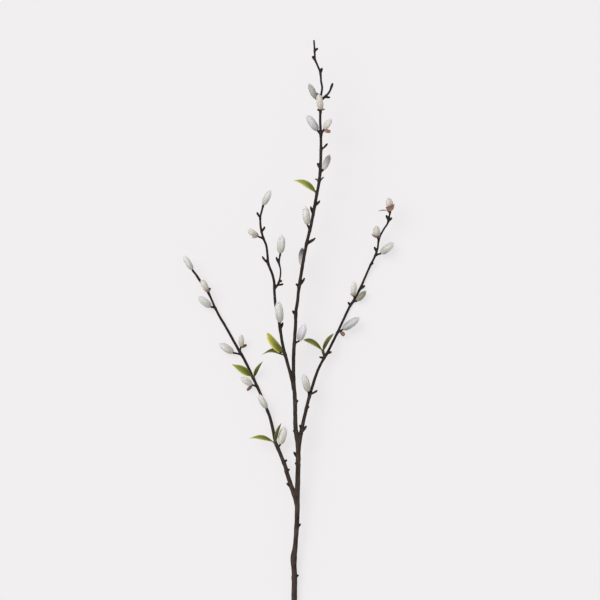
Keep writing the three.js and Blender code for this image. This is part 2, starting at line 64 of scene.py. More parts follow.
CATKIN = {
    "rows": 44, "around": 30, "widest": 0.88, "bluntness": 2.7, "tuft_rows": 10, "tuft_columns": 8,
    "tuft_height": 0.08, "tuft_reach": 0.2, "silk_depth": 0.35, "felt_share": 0.94,
}
SILK = {
    "hairs": 1500, "shortest": 2.2, "longest": 7.0, "root_radius": 0.08, "root_depth": 0.2,
    "middle_taper": 0.75, "lean": 0.16, "bend_back": 0.35, "stray": 0.09, "crowding": 0.55, "usual_girth": 11,
}
LEAF = {
    "steps": 56, "columns": 21, "rib_thickness": 0.6, "edge_thickness": 0.22, "stalk_width": 1.5,
    "tip_width": 0.25, "wave": 0.35, "veins": 9, "vein_slant": 0.16, "vein_height": 0.07, "rib_height": 0.3,
    "rib_width": 0.42,
}
SCALE = {
    "thickness": 0.45, "wrap": 78.0, "steps": 22, "columns": 17, "sink": 0.9, "stripes": 9,
    "stripe_height": 0.035,
}
CUP = {"gap": 0.45, "room": 0.6, "lowest": -0.01, "foot_radius": 1.8, "set_back": 0.45, "lip": 0.3}
CLEAR_OF_TABLE = 0.1

# Stems: the middle line of each, from its root to its tip, and the radius at some heights y along it

STEMS = {
    "main": {
        "radii": [
            (-60, 4.4), (50, 4.2), (63, 5.0), (76, 3.9), (95, 3.5), (160, 3.9), (300, 3.1), (335, 2.85),
            (366, 2.7), (430, 2.5), (500, 2.4), (650, 2.3), (710, 2.0), (740, 1.75), (825, 1.5), (840, 1.35),
        ],
        "points": [
            (0.3, -60, 4.1), (0.3, -38, 4.3), (0.3, 0, 6.8), (0.6, 37, 10), (-0.5, 63, 12.5), (1.5, 78, 14),
            (3, 95, 15.5), (4.8, 130, 19), (5, 156, 21.5), (6, 195, 25), (6.3, 223, 27.5), (5.4, 236, 28.5),
            (2.5, 257, 30), (1.5, 300, 33.5), (-0.5, 330, 36.5), (-0.6, 366, 39.5), (0.4, 385, 41),
            (2.4, 414, 43.5), (2.8, 432, 44.5), (5.2, 448, 46), (7.5, 470, 48), (11.5, 494, 50),
            (15, 515, 51.5), (20, 540, 53.5), (24.5, 558, 55), (29, 580, 56.5), (32.5, 600, 58),
            (37.5, 627, 60), (39.3, 645, 61.5), (40.3, 672, 63.5), (40.2, 700, 65.5), (39.2, 720, 67),
            (40, 738, 68), (40.2, 755, 69), (42.2, 768, 70), (40.6, 778, 70.5), (39.4, 791, 71),
            (35.2, 802, 71.5), (31.8, 810, 72), (31, 822, 72.5), (29.9, 840, 73),
        ],
    },
    "left": {
        "radii": [
            (145, 3.7), (175, 3.3), (220, 2.75), (270, 2.35), (340, 2.15), (410, 2.0), (450, 1.75),
            (472, 1.75), (484, 2.05), (495, 1.4),
        ],
        "points": [
            (5, 140, 20), (2, 153, 20.5), (-1.5, 163, 20.2), (-5, 174, 19.4), (-9.5, 187, 18),
            (-13, 200, 16.5), (-18, 213, 15), (-22.5, 224, 13.7), (-27.5, 236, 12.5), (-31, 253, 10.8),
            (-35.5, 272, 9), (-41, 287, 7.6), (-51.5, 312, 5.4), (-63, 337, 3.6), (-70.5, 353, 2.6),
            (-78.5, 368, 2.1), (-84, 377, 1.85), (-93.5, 394, 1.8), (-103, 411, 2.6), (-112.5, 427, 4.4),
            (-119.5, 441, 7), (-125.5, 455, 10), (-130, 464, 12), (-141.5, 480, 16), (-147.5, 489, 18.5),
            (-152.4, 495.2, 20),
        ],
    },
    "middle": {
        "radii": [(322, 2.75), (350, 2.5), (400, 2.3), (470, 2.1), (530, 1.8), (592, 1.55)],
        "points": [
            (-0.5, 316, 35.2), (-2.8, 330, 37), (-5.7, 341, 39.5), (-8.8, 352, 42), (-12.6, 366, 45.5),
            (-15.6, 377, 48), (-18, 389, 50.5), (-20.3, 404, 53.5), (-22.2, 416, 56), (-25.2, 432, 58),
            (-28, 446, 60), (-29.3, 463, 63), (-29.9, 478, 65), (-32.5, 489, 66.5), (-38.5, 505, 69),
            (-39.7, 518, 71), (-41.6, 532, 73), (-46.2, 544, 75), (-49.3, 556, 76.5), (-50.5, 574, 78),
            (-48.2, 584, 79), (-46.3, 591.5, 79.5),
        ],
    },
    "right": {
        "radii": [
            (218, 3.0), (260, 2.8), (300, 2.45), (345, 2.15), (420, 1.95), (500, 1.7), (560, 1.45),
            (585, 1.35),
        ],
        "points": [
            (6.3, 214, 26.5), (7.8, 232, 29), (10, 246, 30), (12, 258, 30.2), (14.7, 271, 29.8),
            (17.7, 284, 28.8), (21, 298, 27.3), (24, 309, 25.8), (28, 322, 23.8), (33.5, 339, 20.8),
            (39, 352, 18.3), (45, 363, 15.8), (51.5, 374, 13.3), (58.5, 388, 10.3), (65.5, 402, 7.3),
            (72, 416, 4.8), (79, 431, 2.7), (84.5, 442, 1.95), (90, 450, 1.6), (97, 463, 1.55),
            (103.5, 477, 2.5), (110, 492, 4.8), (116, 505, 7.3), (121.5, 516, 10), (125.3, 527, 12.5),
            (127.2, 540, 15.5), (130, 548, 17.5), (135, 557, 20),
            (140.7, 566, 22), (143, 576, 24), (144.6, 583.8, 25.5),
        ],
    },
    "middleTwiglet": {
        "radii": [(466, 1.5), (490, 1.3), (519, 1.4)],
        "points": [
            (-29.3, 466, 63.2), (-25, 472.5, 65), (-21.8, 480, 66.5), (-20.2, 489, 68), (-20.4, 497, 69.5),
            (-22, 504, 71), (-22, 511, 72.5), (-20.6, 519, 74),
        ],
    },
    "topTwiglet": {
        "radii": [(750, 1.7), (765, 1.6), (771, 2.1), (776, 1.5)],
        "points": [
            (40.2, 748, 68.6), (46.2, 755, 70.4), (51, 759.5, 71.6), (54.2, 764.5, 72.4), (56, 769.5, 73.2),
            (58, 775.4, 74),
        ],
    },
}

# Catkins: the stem that each grows on, the height y where its stalk leaves, the stalk from the stem's middle
# to the catkin's foot, the span from foot to tip, the girth across, and the shade of its silk

CATKINS = {
    "main_1": ("main", 746, (-7, 6.5, -4), (-10, 20.5, -2), 9.6, "grey"),
    "main_2": ("main", 731, (0.5, 5, 6), (-3, 20.5, 8), 10.4, "blush"),
    "main_3": ("main", 697, (-5, 7.5, 0.5), (-15, 21.5, 2), 11.6, "cool"),
    "main_4": ("main", 697, (5, 10, 3.5), (9.6, 13.5, 10.5), 9.6, "white"),
    "main_5": ("main", 640, (5.2, 6, 1.5), (8.6, 20, 3), 9.6, "dusk"),
    "main_6": ("main", 554, (-3.4, 9.5, 2), (-3, 26, 4), 11.2, "silver"),
    # main_7 hangs under the stem: its silk colours are painted shade, darker towards its tip where the stem's
    # shadow falls
    "main_7": ("main", 498, (-0.6, 5, -7), (1, 23.5, -6), 10.4, "shaded"),
    "main_8": ("main", 384, (7.2, 5.5, 1.6), (8.2, 23, 5), 12, "violet"),
    "middle_1": ("middle", 591, (0.4, 2, 0.4), (10, 20, 5), 10, "silver"),
    "middle_2": ("middle", 542, (-10, 4.5, 2), (-13.5, 9.5, 11), 9.6, "white"),
    "middle_3": ("middleTwiglet", 518, (0.3, 2.5, 0.6), (2.4, 25.5, 4), 12, "silver"),
    "middle_4": ("middle", 410, (0.4, 7, 7.5), (-2.5, 30.5, 11), 12.4, "silver"),
    "left_1": ("left", 494.5, (-0.8, 1.6, 0.6), (-12.3, 20, 5), 9.2, "silver"),
    "left_2": ("left", 459, (-3, 5.5, 6), (-7.5, 15.5, 14), 9.8, "cream"),
    "left_3": ("left", 438, (-7, 2.5, 2), (-18, 14, 5), 11.2, "silver"),
    "left_4": ("left", 368, (-13, 3.5, 5.5), (-19.5, 13, 4), 11.4, "silver"),
    "left_5": ("left", 373, (2.2, 8, 5.5), (0.5, 16, 13), 8.8, "cream"),
    "left_6": ("left", 320, (-8.5, 3.5, 5), (-16, 10.5, 10), 10.4, "white"),
    "left_7": ("left", 283, (-1.8, 5, 7), (-11.5, 19.5, 8), 9.8, "silver"),
    "left_8": ("left", 227, (3.2, 7, 3), (6.5, 25, 6), 12, "white"),
    "right_1": ("right", 583, (-0.1, 2.6, 0.8), (-2, 16.5, 13), 10.8, "cream"),
    "right_2": ("right", 539.5, (-2.4, 6.5, 4), (-1.5, 14, 14), 11, "cream"),
    "right_3": ("right", 517, (8.5, 3.5, 1.5), (17.5, 14, 3), 11.4, "silver"),
    "right_4": ("right", 452, (-2, 5.5, 6), (1, 20.5, 9), 9.2, "white"),
    "right_5": ("right", 447, (6.6, 2.5, 5), (12, 13, 3), 9, "olive"),
    "right_6": ("right", 401, (8.5, 5.5, 4.5), (22.5, 16, 5), 12, "cool"),
    "right_7": ("right", 305, (-1.6, 8, 3.5), (-6.6, 25, 5), 11.2, "silver"),
}

# Bud scales: the catkin that each sheathed, its span from foot to tip, its width across, where its foot is,
# back down the stalk from the catkin and out from the stalk's middle, how far its back is tilted up, in
# degrees, how much of its length it curls in by, and its colour

BUD_SCALES = {
    "main_2": ((4.6, 0.6, 3.4), 4.8, 2.2, 2.7, 40, 0.12, "olive"),
    "main_4": ((9, -1.5, 2), 6, 3.6, 2.7, 105, 0.12, "salmon"),
    "left_5": ((7.6, 3.4, 1), 5.2, 3.4, 2.8, 105, 0.12, "russet"),
    "left_6": ((-7, -7, 1.5), 5.2, 1.9, 2.5, 105, 0.12, "umber"),
    "right_6": ((5.4, -5.4, 3), 6.4, 6.2, 2.4, 80, 0.12, "amber"),
}

# Cupped scales that still hug the foot of their catkin: the way that each looks, how far up the catkin it
# reaches, as a share of the length, half its angle round it, in degrees, how far its lip stands off, and its
# colour

CUPPED_SCALES = {
    # middle_2's cup pales to cream towards its lip: a painted highlight over its own rusty colour
    "middle_2": ((0.25, -0.75, 0.6), 0.5, 64, 2.4, "cream"),
    "left_2": ((0.4, -0.6, 0.7), 0.22, 62, 0.8, "pink"),
    "right_1": ((0.5, -0.4, 0.8), 0.66, 84, 1.2, "salmon"),
    "right_2": ((-0.5, -0.5, 0.7), 0.36, 75, 1.4, "russet"),
    "right_4": ((-0.1, -0.8, 0.6), 0.24, 62, 1.1, "tan"),
}

# Leaves: the stem, the height y and the stalk as for a catkin, the span from foot to tip, the bow of the
# midrib's middle away from a straight line, the way that the upper face looks, the width, the fold in
# degrees, the belly and the fullness of the outline, and the colour

LEAVES = {
    "main_1": ("main", 609.4, (-3.6, 4.5, 1), (-31, 15.5, 5), (1.2, 3.4, 4), (-0.25, 0.35, 1),
               10.2, 22, 0.85, 0.95, "yellow"),
    "main_2": ("main", 629, (-3.3, 1.5, 0.8), (-3.4, 0.4, 1.6), (0, 0.5, 0), (0.2, 0.6, 1),
               3, 15, 0.85, 0.95, "dark"),
    "main_3": ("main", 629, (3.7, 2.5, 1), (3.8, 2.6, 1.8), (0, 0.6, 0), (-0.2, 0.6, 1),
               3.4, 15, 0.85, 0.95, "dark"),
    "middle_1": ("middle", 369, (-6.5, 5, 2.5), (-20, 27, 8), (-1, -0.5, 3), (-0.3, 0.2, 1),
                 13.2, 24, 0.85, 0.45, "golden"),
    "middle_2": ("middle", 367, (-6.8, 2.5, -2), (-29, -1.5, -6), (2, 5.4, 1), (0.05, 0.5, 1),
                 9, 26, 0.6, 1.2, "dull"),
    "right_1": ("right", 364, (-4, 11.5, 2), (-27.5, 15, 4), (0.6, 3.4, 4), (-0.1, 0.35, 1),
                9, 24, 1.25, 0.75, "olive"),
    "right_2": ("right", 364, (-1, 12.5, 3.6), (15, 23.5, 9), (-1, 0.8, 2), (-0.6, 0.25, 1),
                8.6, 26, 0.85, 0.75, "dull"),
    "right_3": ("right", 581, (-4, 4, 0.2), (-13.5, -1, 2), (0, 0.3, 0.3), (0, 1, 0.3),
                3.6, 14, 0.85, 0.95, "dry"),
    "left_1": ("left", 333, (-3.6, 3.5, 2.4), (-29.5, 17.5, 6), (0.4, 1.2, 3.5), (-0.2, 0.3, 1),
               12, 24, 0.85, 1.25, "green"),
    "left_2": ("left", 333, (2, 4, 2.4), (12.5, 21.5, 10), (-0.8, 0.4, 2), (-0.5, 0.2, 1),
               7.6, 26, 0.7, 1.1, "dull"),
    "left_3": ("left", 233, (-4.4, 4, 2), (-36, 5.5, 5), (0, 3.6, 3), (0, 0.55, 1),
               8.6, 26, 1.0, 1.3, "green"),
    "left_4": ("left", 233, (-1, 7, 3), (8.6, 26, 13), (-1, 0.5, 2), (-0.5, 0.1, 1),
               7.2, 26, 0.75, 0.95, "dull"),
}

# Buds: the stem, the height y of the root and the reach from the stem's middle to the tip. Stubs are blunt

BUDS = {
    "main": [
        (211, (-6.6, 12, 2)), (252, (-4.4, 3, 1)), (296, (4.6, 4, 1.5)), (426, (-4.6, 9, 1)),
        (430, (0.5, 5, 3.6)), (470, (-4.6, 5, 1.5)), (470, (8.4, 13.8, 2)), (533, (13.6, 10.5, 2)),
        (536, (9.8, 5.5, 2.8)), (578, (-3.6, 13, 3)), (590, (8, 9.5, 2)), (646, (-4.2, 10, 1)),
        (675, (10, 10, 2)), (733, (-4.6, 3.5, 1)), (756, (-6.4, 4, 4)), (789, (2, 9.5, 1)),
        (808, (-5, 8, 1)), (823, (4.8, 5, 1)),
    ],
    "left": [(193, (4.4, 4, 1)), (206, (4.4, 5, 1)), (462, (3, 7, 1))],
    "middle": [(405, (3.6, 12, 1)), (504, (-9.4, 12, 1)), (552, (4.8, 8.5, 1)), (573, (-4.8, 9, 1))],
    "right": [
        (254, (-2.4, 9.5, 2.5)), (250, (8, 12, 1)), (287, (4.2, 4, 1)), (308, (11.4, 7, 1)),
        (369, (8, 4, 1)), (442, (-3.2, 5.5, 1.6)), (465, (8.4, 7.5, 2.4)), (503, (3.8, 3.5, 1)),
        (522, (-3, 8.5, 1)), (569, (-3, 9, 1)), (568, (5.6, 6.3, 1)),
    ],
    "middleTwiglet": [(503, (-4.6, 12, 1)), (477, (5, 2.5, 1)), (472, (9.5, 2.5, 1))],
    "topTwiglet": [(754, (9, 0, 1))],
}
STUBS = {
    "main": [(34, (6.4, 3.6, 1)), (108, (6.2, 6.6, 1)), (203, (-4.8, 3, 1))],
    "left": [(168, (-7.8, 7.6, 1))],
    "right": [(363, (-7, 2, 1))],
}

# Colours, as sRGB values from 0 to 255. A pair runs from a piece's foot to its tip

BARK_COLOURS = {
    "ridge": (72, 57, 49), "furrow": (28, 21, 18), "young": (21, 20, 20), "pore": (98, 84, 74),
    "cut": (190, 165, 126), "cut_ring": (158, 128, 92), "petiole": (88, 90, 42),
}
SILK_COLOURS = {
    "silver": ((172, 172, 160), (246, 246, 243)), "white": ((191, 186, 172), (252, 251, 247)),
    "cream": ((190, 181, 164), (244, 242, 235)), "blush": ((184, 177, 160), (250, 246, 240)),
    "grey": ((140, 141, 131), (200, 200, 194)), "olive": ((134, 134, 112), (168, 168, 152)),
    # The pair for main_7, dark at its tip, is painted shade for the stem's shadow on that catkin
    "violet": ((168, 165, 166), (250, 248, 253)), "shaded": ((196, 192, 186), (70, 66, 61)),
    "cool": ((152, 153, 152), (234, 235, 236)), "dusk": ((192, 190, 182), (160, 160, 159)),
}
SCALE_COLOURS = {
    "olive": ((128, 112, 74), (100, 84, 58)), "salmon": ((200, 148, 124), (138, 74, 60)),
    # The scales' cream pair is partly painted light: its rusty foot is the cup's own colour, its cream lip a
    # painted highlight
    "cream": ((156, 106, 90), (228, 210, 188)), "pink": ((190, 158, 148), (170, 136, 126)),
    "russet": ((138, 82, 68), (104, 60, 50)), "amber": ((78, 48, 38), (146, 100, 70)),
    "tan": ((150, 110, 82), (206, 182, 152)), "umber": ((120, 76, 66), (88, 58, 52)),
}
LEAF_COLOURS = {
    "yellow": ((106, 114, 26), (228, 220, 140)), "golden": ((96, 102, 22), (242, 234, 126)),
    "olive": ((84, 86, 28), (206, 196, 130)), "green": ((84, 96, 18), (200, 200, 100)),
    "dull": ((24, 30, 0), (138, 138, 66)), "dark": ((62, 64, 34), (92, 90, 52)),
    "dry": ((104, 98, 84), (120, 110, 96)),
}
FLOOR_COLOUR = (241, 239, 240)

# Colours laid over the ones above, as linear red, green, blue and full alpha

SCALE_OVER = {"streak": (0.06, 0.025, 0.017, 1.0), "edge": (0.05, 0.022, 0.016, 1.0)}
LEAF_OVER = {
    "patch": (0.04, 0.058, 0.008, 1.0), "vein": (0.5, 0.52, 0.24, 1.0), "underside": (0.23, 0.27, 0.14, 1.0),
}
FLOOR_SHADE = (0.16, 0.157, 0.1585, 1.0)

# Light: the strength of the sky and of the floor's own glow, and the soft window's strength, width and side

LIGHT = {
    "sky": 0.74, "floor_glow": 0.777, "window": 2.3, "window_degrees": 40.0, "window_from": (-0.6, 0.55, 1.0),
}


# Small tools

def linear(colour):
    """An sRGB colour from 0 to 255 as the linear red, green, blue and full alpha that shaders take."""
    share = np.array(colour) / 255.0
    value = np.where(share <= 0.04045, share / 12.92, ((share + 0.055) / 1.055) ** 2.4)
    return (*value.tolist(), 1.0)


def unit(vectors):
    """Each vector divided by its own length."""
    return vectors / np.linalg.norm(vectors, axis=-1, keepdims=True)


def smooth_line(points, spacing, per_span=24):
    """A line through the points, then set at even distances along it.

    On the span between two points it is the cubic a + b t + c t^2 + d t^3 whose slopes at both ends weigh the
    neighbouring spans by the square roots of their lengths.
    """
    points = np.asarray(points, float)
    padded = np.vstack([2 * points[0] - points[1], points, 2 * points[-1] - points[-2]])
    gaps = np.sqrt(np.linalg.norm(np.diff(padded, axis=0), axis=1))[:, None]
    before, here, after = gaps[:-2], gaps[1:-1], gaps[2:]
    first, start, end, last = padded[:-3], padded[1:-2], padded[2:-1], padded[3:]
    slope_in = ((start - first) / before - (end - first) / (before + here) + (end - start) / here) * here
    slope_out = ((end - start) / here - (last - start) / (here + after) + (last - end) / after) * here
    t = np.linspace(0, 1, per_span, endpoint=False)[None, :, None]
    square = 3 * (end - start) - 2 * slope_in - slope_out
    cube = 2 * (start - end) + slope_in + slope_out
    spans = start[:, None] + slope_in[:, None] * t + square[:, None] * t ** 2 + cube[:, None] * t ** 3
    line = np.vstack([spans.reshape(-1, 3), points[-1]])
    return evenly(line, spacing)


def evenly(line, spacing):
    """The same line with its points at even distances, by straight steps along its own length."""
    length = along_of(line)
    places = np.linspace(0, length[-1], max(int(round(length[-1] / spacing)), 4) + 1)
    return points_at(places, length, line)


def points_at(places, measure, line):
    """The points of a line at some places of a measure that grows along it."""
    return np.stack([np.interp(places, measure, line[:, axis]) for axis in range(3)], axis=-1)


def along_of(line):
    """The distance along the line to each of its points."""
    return np.concatenate([[0.0], np.cumsum(np.linalg.norm(np.diff(line, axis=0), axis=1))])


def frame_of(line):
    """At each point of a line: its direction, a level side, and what is square to both."""
    direction = unit(np.gradient(line, axis=0))
    side = unit(np.cross(direction, UP))
    return direction, side, np.cross(side, direction)


def ring_faces(rings, sides, start=0):
    """Quads between rings that follow each other, and the triangles that close both ends on a pole.

    The rings' points come first, ring by ring, then the pole of the first ring and that of the last.
    """
    ring = np.arange(rings - 1)[:, None] * sides
    here = np.arange(sides)[None, :]
    following = (here + 1) % sides
    quads = np.stack([ring + here, ring + following, ring + sides + following, ring + sides + here], axis=-1)
    poles = rings * sides + np.array([0, 1])
    top = (rings - 1) * sides
    first = np.stack([here[0] * 0 + poles[0], following[0], here[0]], axis=-1)
    last = np.stack([here[0] * 0 + poles[1], top + here[0], top + following[0]], axis=-1)
    return quads.reshape(-1, 4) + start, np.vstack([first, last]) + start


def shell_faces(rows, columns):
    """Quads of two grids of points, an upper and a lower one, closed by a rim between their edges."""
    grid = np.arange(rows * columns).reshape(rows, columns)
    below = grid + rows * columns
    upper = np.stack([grid[:-1, :-1], grid[1:, :-1], grid[1:, 1:], grid[:-1, 1:]], axis=-1)
    lower = np.stack([below[:-1, :-1], below[:-1, 1:], below[1:, 1:], below[1:, :-1]], axis=-1)
    edge = np.concatenate([grid[0, :-1], grid[:-1, -1], grid[-1, :0:-1], grid[:0:-1, 0]])
    after = np.roll(edge, -1)
    rim = np.stack([edge, after, after + rows * columns, edge + rows * columns], axis=-1)
    return np.vstack([upper.reshape(-1, 4), lower.reshape(-1, 4), rim])


def in_metres(points):
    """Points of the drawing, in the frame's own place and unit."""
    return (points - BOX_MIDDLE) * MM


def new_mesh(name, points, *face_lists):
    """A mesh of the drawing's points, with faces from one or more arrays of corner numbers."""
    mesh = bpy.data.meshes.new(name)
    faces = [face for faces in face_lists for face in faces.tolist()]
    mesh.from_pydata(in_metres(points).tolist(), [], faces)
    mesh.validate()
    return mesh


def set_attribute(mesh, name, values):
    """A number, a vector or a colour at each point of the mesh, for its material to read."""
    values = np.asarray(values, dtype=np.float32)
    kinds = {1: ("FLOAT", "value"), 3: ("FLOAT_VECTOR", "vector"), 4: ("FLOAT_COLOR", "color")}
    kind, field = kinds[values.size // len(values)]
    mesh.attributes.new(name, kind, "POINT").data.foreach_set(field, values.ravel())


def in_scene(name, data):
    """A new object of a mesh, a light or a camera, linked to the scene."""
    made = bpy.data.objects.new(name, data)
    bpy.context.scene.collection.objects.link(made)
    return made


def dress(name, mesh, material, node_name):
    """A finished piece: it rides on the twig's one body and stands for one node of the frame."""
    piece = in_scene(name, mesh)
    mesh.materials.append(material)
    mesh.shade_smooth()
    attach(piece, "root")
    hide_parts(node_name)


# Stems and what is seated on them

MIDDLE_LINES = {name: smooth_line(stem["points"], WOOD["spacing"]) for name, stem in STEMS.items()}


def point_on(stem, y):
    """The point of a stem's middle line at the height y."""
    line = MIDDLE_LINES[stem]
    return points_at(y, line[:, 1], line)


def foot_of(stem, y, stalk):
    """The far end of a stalk: its root on the stem's middle line, and its reach from there."""
    return point_on(stem, y) + np.array(stalk)


def heading_of(span, bow=(0.0, 0.0, 0.0)):
    """The way that a piece leaves its foot: along its span, or along its midrib's start if that is bowed."""
    return unit(np.array(span) + 4 * np.array(bow))


def stalk_line(stem, y, stalk, heading, past_foot):
    """A stalk's middle line: from inside the stem, and turning into line with what it carries."""
    root = point_on(stem, y)
    end = foot_of(stem, y, stalk) + past_foot * heading
    return smooth_line([root, root + 0.55 * (end - root), end - 1.2 * heading, end], WOOD["spacing"] / 2)


def bud_line(stem, y, reach):
    """A bud's middle line: a quadratic curve whose middle is pushed outward, so that the tip turns up."""
    root = point_on(stem, y)
    reach = np.array(reach, float)
    outward = unit(reach * (1, 0, 1))
    bend = root + reach / 2 + outward * 0.09 * np.linalg.norm(reach)
    t = np.linspace(0, 1, 24)[:, None]
    return evenly((1 - t) ** 2 * root + 2 * (1 - t) * t * bend + t ** 2 * (root + reach), WOOD["spacing"] / 2)


# Wood: each limb is a middle line with a radius at each point, how young its bark is, and how green

def node_heights(stem):
    """The heights on a stem where a stalk, bud or stub leaves it."""
    carried = [y for on, y, *_ in (*CATKINS.values(), *LEAVES.values()) if on == stem]
    grown = [y for table in (BUDS, STUBS) for y, _ in table.get(stem, [])]
    return np.array(carried + grown, float)


def stem_limb(stem):
    """A stem: its radius by height, with slow lumps, and swollen a little in a bell curve at every node."""
    line = MIDDLE_LINES[stem]
    heights, radii = np.array(STEMS[stem]["radii"], float).T
    radius = np.interp(line[:, 1], heights, radii)
    along = along_of(line)
    lumps = np.sin(along / 6.1) + np.sin(along / 9.7 + 1.0) + np.sin(along / 3.7 + 2.0)
    bells = np.exp(-((line[:, 1:2] - node_heights(stem)) / WOOD["node_length"]) ** 2).sum(axis=1)
    radius = radius * (1 + WOOD["lump"] * lumps / 3) + WOOD["node_swell"] * np.minimum(bells, 1.3)
    return line, radius, 0.0 * along


def short_limb(line, radii, green=0.0):
    """A stalk, bud or stub: radii spread evenly along its line, and green towards its far end or not."""
    share = along_of(line) / along_of(line)[-1]
    return line, np.interp(share, np.linspace(0, 1, len(radii)), radii), green * share ** 1.5


def wood_limbs():
    """All the round limbs of the wood."""
    limbs = [stem_limb(stem) for stem in STEMS]
    for stem, y, stalk, span, *_ in CATKINS.values():
        line = stalk_line(stem, y, stalk, heading_of(span), STALK_OVERLAP)
        limbs.append(short_limb(line, STALK_RADII))
    for stem, y, stalk, span, bow, *_ in LEAVES.values():
        line = stalk_line(stem, y, stalk, heading_of(span, bow), STALK_OVERLAP)
        limbs.append(short_limb(line, np.array(STALK_RADII) * WOOD["leaf_stalk"], green=1.0))
    for table, radii in ((BUDS, BUD_RADII), (STUBS, STUB_RADII)):
        for stem, buds in table.items():
            limbs += [short_limb(bud_line(stem, y, reach), radii) for y, reach in buds]
    return limbs


def limb_rings(line, radius):
    """Rings of points round a line: point + radius (cos a * side + sin a * over), a from 0 to a full turn."""
    _, side, over = frame_of(line)
    angle = np.linspace(0, 2 * np.pi, WOOD["sides"], endpoint=False)[None, :, None]
    around = np.cos(angle) * side[:, None] + np.sin(angle) * over[:, None]
    return line[:, None] + radius[:, None, None] * around


def cut_depth(points):
    """How far each point lies past the slanted cut, on the side that was cut away."""
    slant = np.radians(CUT_END["slant"])
    return (points[:, 0] * np.sin(slant) - (points[:, 1] - CUT_END["y"]) * np.cos(slant)) / np.cos(slant)


def rough_wood(limbs):
    """All limbs as closed tubes in one mesh, pressed up to the slanted cut and to the table."""
    points, quads, triangles, count = [], [], [], 0
    for line, radius, _ in limbs:
        rings = limb_rings(line, radius)
        some_quads, some_triangles = ring_faces(len(line), WOOD["sides"], count)
        points += [rings.reshape(-1, 3), line[:1], line[-1:]]
        quads.append(some_quads)
        triangles.append(some_triangles)
        count += rings.shape[0] * rings.shape[1] + 2
    points = np.vstack(points)
    points[:, 1] += np.maximum(cut_depth(points), 0)
    points[:, 2] = np.maximum(points[:, 2], 0)
    return new_mesh("rough_wood", points, np.vstack(quads), np.vstack(triangles))


def fused(rough):
    """One skin round all the tubes: they are remeshed together on a fine grid, whose steps are smoothed."""
    holder = in_scene("rough_wood", rough)
    skin = holder.modifiers.new("skin", "REMESH")
    skin.mode = "VOXEL"
    skin.voxel_size = WOOD["voxel"] * MM
    ease = holder.modifiers.new("ease", "SMOOTH")
    ease.factor = 0.5
    ease.iterations = 2
    mesh = bpy.data.meshes.new_from_object(holder.evaluated_get(bpy.context.evaluated_depsgraph_get()))
    bpy.data.objects.remove(holder)
    bpy.data.meshes.remove(rough)
    mesh.name = "wood"
    return mesh


def nearest_sample(points, samples, radii, blocks=160):
    """For each point, the limb sample whose round surface is nearest: the least of distance less radius."""
    squares = (samples ** 2).sum(axis=1)
    picks = []
    for block in np.array_split(points, blocks):
        distance = np.sqrt(np.maximum((block ** 2).sum(axis=1)[:, None] + squares - 2 * block @ samples.T, 0))
        picks.append(np.argmin(distance - radii, axis=1))
    return np.concatenate(picks)


def wood_mesh():
    """The fused wood, with fine wrinkles, and for each point its place on its own limb.

    That place is (r cos a, r sin a, distance along the limb), so that the bark's pattern follows each branch.
    The wrinkles move a point along its normal by a sum of sines of the angle a and of the distance along.
    """
    limbs = wood_limbs()
    mesh = fused(rough_wood(limbs))
    count = len(mesh.vertices)
    flat = np.empty(count * 3, np.float32)
    mesh.vertices.foreach_get("co", flat)
    points = flat.reshape(-1, 3).astype(float) / MM + BOX_MIDDLE
    mesh.vertex_normals.foreach_get("vector", flat)
    normals = flat.reshape(-1, 3).astype(float)

    lines = np.vstack([line for line, _, _ in limbs])
    radii = np.concatenate([radius for _, radius, _ in limbs])
    green = np.concatenate([share for _, _, share in limbs])
    along = np.concatenate([along_of(line) + 37.0 * k for k, (line, _, _) in enumerate(limbs)])
    direction, side, over = (np.vstack(parts) for parts in zip(*[frame_of(line) for line, _, _ in limbs]))
    pick = nearest_sample(points, lines, radii)

    offset = points - lines[pick]
    forward = (offset * direction[pick]).sum(axis=1)
    across = np.column_stack([(offset * side[pick]).sum(axis=1), (offset * over[pick]).sum(axis=1)])
    angle = np.arctan2(across[:, 1], across[:, 0])
    distance = along[pick] + forward
    wrinkle = (np.sin(5 * angle + distance / 3.1) + 0.7 * np.sin(8 * angle - distance / 5.3 + 1.3)
               + 0.6 * np.sin(3 * angle + distance / 1.9 + 0.6))
    height = WOOD["wrinkle"] * wrinkle * np.minimum(radii[pick] / 2.5, 1.2)
    at_cut = (np.abs(cut_depth(points)) < 1.0) & (normals[:, 1] < -0.6)
    moved = points + normals * np.where(at_cut, 0, height)[:, None]
    moved[:, 2] = np.maximum(moved[:, 2], 0)
    mesh.vertices.foreach_set("co", in_metres(moved).astype(np.float32).ravel())

    set_attribute(mesh, "limb_place", np.column_stack([across, distance]) * MM)
    youth = (WOOD["old_radius"] - radii[pick]) / (WOOD["old_radius"] - WOOD["young_radius"])
    set_attribute(mesh, "youth", np.clip(youth, 0, 1))
    set_attribute(mesh, "green", green[pick])
    set_attribute(mesh, "at_cut", at_cut)
    mesh.update()
    return mesh


# Catkins: a felted egg under a coat of silk hairs

def catkin_axes(stem, y, stalk, span):
    """A catkin's foot, its span and direction, and two ways across it."""
    span = np.array(span, float)
    axis = unit(span)
    across = unit(np.cross(UP, span))
    return foot_of(stem, y, stalk), span, axis, across, np.cross(axis, across)


def egg_swell(t):
    """The egg's radius as a share of its greatest: sqrt(1 - |2 t^widest - 1|^bluntness)."""
    from_middle = np.abs(2 * np.clip(t, 0, 1) ** CATKIN["widest"] - 1)
    return np.sqrt(1 - from_middle ** CATKIN["bluntness"])


